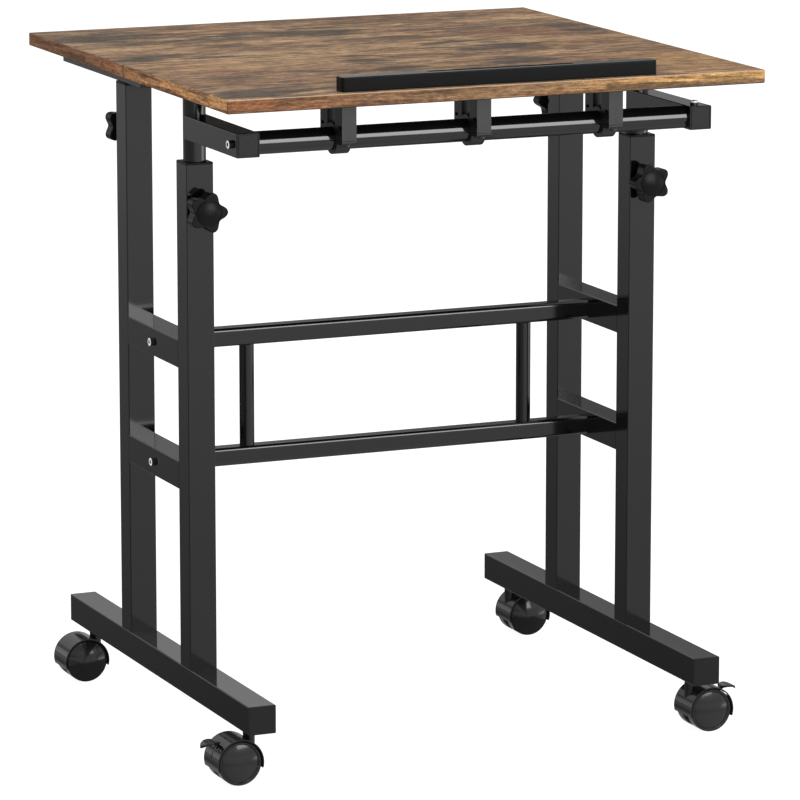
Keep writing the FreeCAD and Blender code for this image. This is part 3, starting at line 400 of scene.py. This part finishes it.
class Finish(Graph):
    """One procedural material."""

    def __init__(self, name):
        self.material = bpy.data.materials.new(name)
        self.material.use_nodes = True
        super().__init__(self.material.node_tree)
        self.shader = self.tree.nodes["Principled BSDF"]

    def set(self, **values):
        """Set sockets of the shader, with underscores for spaces in their names."""
        for key, value in values.items():
            self.feed(self.shader.inputs[key.replace("_", " ")], value)

    def place(self):
        return self.coordinates.outputs["Object"]

    def normal(self):
        return self.coordinates.outputs["Normal"]

    def bump(self, height, strength, distance):
        made = self.node("ShaderNodeBump")
        self.feed(made.inputs["Height"], height)
        made.inputs["Strength"].default_value = strength
        made.inputs["Distance"].default_value = distance
        self.feed(self.shader.inputs["Normal"], made.outputs[0])

    def field(self, place, middle, half_size):
        """1 inside an oval of the top, fading to 0 outside it."""
        scale = [1 / half for half in half_size]
        move = [-centre * factor for centre, factor in zip(middle, scale)]
        distance = self.length(self.stretch(place, (*scale, 0.0), (*move, 0.0)))
        return self.ease(distance, *FIELD_FADE)

    def fields(self, place, ovals):
        return self.fold("MAXIMUM", [self.field(place, *oval) for oval in ovals])

    def lay_streaks(self, colour, noises, table):
        for name, span, strength, paint in table:
            colour = self.mix(self.ease(noises[name], *span, 0.0, strength), colour, paint)
        return colour

    def shades(self, noises, table):
        return self.fold("MULTIPLY", [self.remap(noises[name], *span) for name, span in table.items()])


# Wood
def painted_rim_light(finish, y, normal, facing):
    """Painted shade on rims at the corners, below and along the seam, and a painted highlight on the rim
    above the front edge.
    """
    rim = finish.math("LESS_THAN", finish.fold("MAXIMUM", facing), ROUND)
    upper = finish.math("GREATER_THAN", normal[2], LEAN)
    near_seam = finish.math("LESS_THAN", finish.math("ABSOLUTE", y), SEAM_STRIP)
    at_seam = finish.times(near_seam, finish.math("GREATER_THAN", facing[1], LEAN))
    near_front = finish.math("LESS_THAN", y, FRONT_STRIP)
    in_front = finish.times(near_front, finish.math("LESS_THAN", normal[1], -LEAN))
    dark = finish.times(rim, finish.math("MAXIMUM", at_seam, finish.math("SUBTRACT", 1.0, upper)))
    pale = finish.times(rim, finish.times(upper, in_front))
    return dark, pale


def board_noises(finish, place, on_side):
    """The wood's noises by name, and the swaying place that most of them follow."""
    x, y, z = place
    # The grain runs along X, and along Y on the two end faces
    grain = finish.mix_vector(on_side, finish.place(), finish.join(y, x, z))
    along, across, deep = finish.split(grain)
    sway = finish.between(finish.noise(finish.stretch(grain, SWAY_SCALE)), -SWAY, SWAY)
    wavy = finish.join(along, finish.math("ADD", across, sway), deep)
    noises = {}
    for course, table in ((wavy, SWAYING_NOISES), (grain, STRAIGHT_NOISES)):
        for name, settings in table.items():
            noises[name] = finish.streaks(course, *settings)
    return noises, wavy


def board_top(finish, noises, wavy):
    """Tan and brown streaks, then tinted fields, then dark ragged stains."""
    dark = finish.fields(wavy, DARK_FIELDS)
    light = finish.fields(wavy, LIGHT_FIELDS)
    grain = [(noises["broad"], BROAD_SHARE), (noises["streak"], STREAK_SHARE)]
    tone = finish.total(*grain, (light, LIGHT_TO_TONE))
    top = finish.lay_streaks(finish.ramp(tone, TOP_STOPS), noises, TOP_STREAKS)
    for middle, half_size, strength, paint in TINTED_FIELDS:
        top = finish.mix(finish.times(finish.field(wavy, middle, half_size), strength), top, paint)
    stain = finish.total((noises["blotch"], 1.0), (dark, DARK_TO_STAIN), (light, LIGHT_TO_STAIN))
    return finish.mix(finish.ease(stain, *STAIN), top, SLATE)


def board_edge(finish, noises, place, on_side):
    """One plank's colour passing from red-brown to honey, with dark streaks low down."""
    x, y, z = place
    front = finish.ramp(finish.remap(x, -HALF_SIDE, HALF_SIDE), FRONT_STOPS)
    side = finish.ramp(finish.remap(y, -HALF_SIDE, HALF_SIDE), SIDE_STOPS)
    edge = finish.mix(on_side, front, side)
    ragged = finish.total((z, 1.0), (noises["streak"], RAGGED))
    low = finish.times(finish.ease(ragged, *LOW_LEVEL), noises["blotch"])
    edge = finish.mix(finish.ease(low, *LOW_STREAKS), edge, EDGE_BROWN)
    edge = finish.lay_streaks(edge, noises, EDGE_STREAKS)
    layer = finish.times(finish.ease(ragged, *LAYER_LEVEL), finish.ease(x, *LAYER_SPAN))
    return finish.mix(layer, edge, EDGE_LAYER)


def wood_laminate():
    finish = Finish("wood_laminate")
    place = finish.split(finish.place())
    normal = finish.split(finish.normal())
    facing = [finish.math("ABSOLUTE", part) for part in normal]
    on_side = finish.math("GREATER_THAN", facing[0], FACE)
    on_edge = finish.math("LESS_THAN", facing[2], FACE)
    below = finish.math("LESS_THAN", normal[2], -FACE)
    rim_shade, rim_highlight = painted_rim_light(finish, place[1], normal, facing)
    noises, wavy = board_noises(finish, place, on_side)
    top = board_top(finish, noises, wavy)
    edge = board_edge(finish, noises, place, on_side)
    local = finish.between(on_edge, finish.shades(noises, TOP_SHADES), finish.shades(noises, EDGE_SHADES))
    shade = finish.times(finish.shades(noises, WOOD_SHADES), local)
    colour = finish.darken(finish.mix(on_edge, top, edge), shade)
    # Painted highlight on the front top rim, then painted shade on the other rims and on the undersides
    colour = finish.mix(finish.times(rim_highlight, RIM_HIGHLIGHT_STRENGTH), colour, PAINTED_HIGHLIGHT)
    colour = finish.mix(finish.times(rim_shade, RIM_SHADE_STRENGTH), colour, PAINTED_SHADE)
    colour = finish.mix(below, colour, PAINTED_SHADE)
    finish.set(Base_Color=colour, Specular_IOR_Level=WOOD_GLOSS)
    finish.set(Roughness=finish.remap(noises["fibre"], *NOISE_SPAN, *WOOD_ROUGHNESS))
    finish.bump(shade, *WOOD_RELIEF)
    return finish.material


# Metal and plastic
def coating(name, made_of, gloss, roughness, tone):
    """Paint or plastic with a fine grain in its gloss and a haze in its colour."""
    tints, grain_scale, haze_settings, relief = made_of
    finish = Finish(name)
    grain = finish.noise(finish.place(), grain_scale, GRAIN_DETAIL)
    haze = finish.noise(finish.place(), *haze_settings)
    deep, pale = [(*(tone * part for part in tint), 1.0) for tint in tints]
    finish.set(Base_Color=finish.mix(haze, deep, pale), Specular_IOR_Level=gloss)
    finish.set(Roughness=finish.remap(grain, *NOISE_SPAN, *roughness))
    finish.bump(grain, relief, RELIEF_DEPTH)
    return finish.material


def turn(finish, tints, roughness):
    """Give a finish the marks of turned steel, and return its colour."""
    marks = finish.noise(finish.stretch(finish.place(), TURNED_SCALE))
    finish.set(Roughness=finish.remap(marks, *NOISE_SPAN, *roughness))
    finish.bump(marks, TURNED_RELIEF, RELIEF_DEPTH)
    return finish.mix(marks, *tints)


def bright_steel():
    finish = Finish("bright_steel")
    finish.set(Base_Color=turn(finish, BRIGHT_TINTS, STEEL_ROUGHNESS), Metallic=BRIGHT_METAL)
    return finish.material


def black_steel():
    finish = Finish("black_steel")
    finish.set(Base_Color=turn(finish, BLACK_TINTS, STEEL_ROUGHNESS))
    return finish.material


def bolt_steel():
    """Socket screws with zinc end faces, painted shade in the sockets and a painted dark reflection on the
    sides.
    """
    finish = Finish("bolt_steel")
    x, y, z = finish.split(finish.place())
    along_x = finish.math("ABSOLUTE", finish.split(finish.normal())[0])
    end_face = finish.math("GREATER_THAN", along_x, FACE)
    crown = finish.math("GREATER_THAN", z, SCREW_CROWN)
    on_right = finish.math("GREATER_THAN", x, 0.0)
    upright = finish.times(on_right, finish.math("GREATER_THAN", z, SCREW_ABOVE))
    radii = [finish.radius((y, z), axis) for axis in BOLT_AXES]
    radii.append(finish.radius((x, y), SCREW_AXIS))
    # Painted shade fills each socket and fades out over its rim
    past_socket_shade = finish.remap(finish.fold("MINIMUM", radii), *SOCKET_SHADE_RADII)
    bright = finish.times(finish.between(upright, end_face, crown), past_socket_shade)
    zinc = turn(finish, ZINC_TINTS, BOLT_ROUGHNESS)
    # Outside the sockets the end faces and the crown show zinc; elsewhere the colour is painted shade and
    # dark reflection
    finish.set(Base_Color=finish.mix(bright, BOLT_SHADE, zinc), Metallic=BOLT_METAL)
    return finish.material


finishes = {name: coating(name, *settings) for name, settings in COATINGS.items()}
finishes["wood_laminate"] = wood_laminate()
finishes["bright_steel"] = bright_steel()
finishes["black_steel"] = black_steel()
finishes["bolt_steel"] = bolt_steel()
for node, piece in nodes.items():
    piece.data.materials.clear()
    piece.data.materials.append(finishes[SPECIAL.get(node, slot_of[node])])


# Floor, light and camera
def sheet(name, middle, half_size, height, colour, glow):
    """A flat part of the set."""
    mesh = bpy.data.meshes.new(name)
    corners = []
    for along, across in ((-1, -1), (1, -1), (1, 1), (-1, 1)):
        corners.append((middle[0] + along * half_size[0], middle[1] + across * half_size[1], height))
    mesh.from_pydata(corners, [], [(0, 1, 2, 3)])
    finish = Finish(name + "_paint")
    finish.set(Base_Color=(colour, colour, colour, 1.0), Roughness=SHEET_ROUGHNESS, Specular_IOR_Level=0.0)
    finish.set(Emission_Color=(1.0, 1.0, 1.0, 1.0), Emission_Strength=glow)
    mesh.materials.append(finish.material)
    piece = bpy.data.objects.new(name, mesh)
    bpy.context.scene.collection.objects.link(piece)
    return piece


def floor():
    half_size = (FLOOR_SIZE / 2, FLOOR_SIZE / 2)
    ground = sheet("floor", (0.0, 0.0), half_size, 0.0, FLOOR_COLOUR, FLOOR_GLOW)
    ground.visible_glossy = False


def floor_shade_cards():
    """Grey cards of painted shade for the shaded floor under the desk, which only show in the gloss of the
    rear casters.
    """
    for name, (middle, half_size) in SHADE_CARDS.items():
        # Painted shade: each card stands for the floor shaded by the desk, in reflections only
        card = sheet(name, middle, half_size, CARD_HEIGHT, SHADE_CARD_COLOUR, 0.0)
        card.visible_camera = False
        card.visible_diffuse = False
        card.visible_shadow = False
        card.visible_transmission = False


def softbox(name, place, aim, width, height, power):
    light = bpy.data.lights.new(name, "AREA")
    light.shape = "RECTANGLE"
    light.size = width
    light.size_y = height
    light.energy = power
    lamp = bpy.data.objects.new(name, light)
    lamp.location = place
    lamp.rotation_euler = (Vector(aim) - Vector(place)).to_track_quat("-Z", "Y").to_euler()
    lamp.visible_camera = False
    bpy.context.scene.collection.objects.link(lamp)


def camera():
    lens = bpy.data.cameras.new("camera")
    lens.sensor_width = SENSOR_WIDTH
    lens.lens = CAMERA_FOCAL * SENSOR_WIDTH
    lens.clip_end = 2 * FLOOR_SIZE
    yaw = math.radians(CAMERA_YAW)
    pitch = math.radians(CAMERA_PITCH)
    look = Vector((math.sin(yaw) * math.cos(pitch), math.cos(yaw) * math.cos(pitch), -math.sin(pitch)))
    piece = bpy.data.objects.new("camera", lens)
    piece.location = CAMERA_PLACE
    piece.rotation_euler = look.to_track_quat("-Z", "Y").to_euler()
    bpy.context.scene.collection.objects.link(piece)
    bpy.context.scene.camera = piece


def sky_stops(levels):
    """Stops of a ramp over the height of a direction, from straight down at 0 to straight up at 1."""
    stops = []
    for elevation, level in levels:
        grey = level / SKY_STRENGTH
        stops.append(((1 + math.sin(math.radians(elevation))) / 2, (grey, grey, grey, 1.0)))
    return stops


def world():
    sky = bpy.data.worlds.new("studio")
    sky.use_nodes = True
    graph = Graph(sky.node_tree)
    x, y, z = graph.split(graph.coordinates.outputs["Generated"])
    height = graph.remap(z, -1.0, 1.0)
    front = graph.ramp(height, sky_stops(FRONT_SKY))
    rear = graph.darken(graph.ramp(height, sky_stops(REAR_SKY)), graph.ease(x, *SKY_FALL))
    level = graph.length(graph.join(x, y, 0.0))
    aside = graph.math("DIVIDE", x, level)
    ahead = graph.math("DIVIDE", y, level)
    aim = math.radians(SKY_AIM)
    cosine = graph.total((aside, math.sin(aim)), (ahead, -math.cos(aim)))
    colour = graph.mix(graph.ease(cosine, *SKY_TURN), rear, front)
    for levels, edges_aside, edges_ahead in SKY_PARTS:
        part = graph.times(graph.ease(aside, *edges_aside), graph.ease(ahead, *edges_ahead))
        colour = graph.mix(part, colour, graph.ramp(height, sky_stops(levels)))
    background = graph.tree.nodes["Background"]
    graph.feed(background.inputs["Color"], colour)
    background.inputs["Strength"].default_value = SKY_STRENGTH
    bpy.context.scene.world = sky


floor()
floor_shade_cards()
world()
camera()
for name, settings in SOFTBOXES.items():
    softbox(name, *settings)
bpy.context.scene.view_settings.view_transform = "Standard"
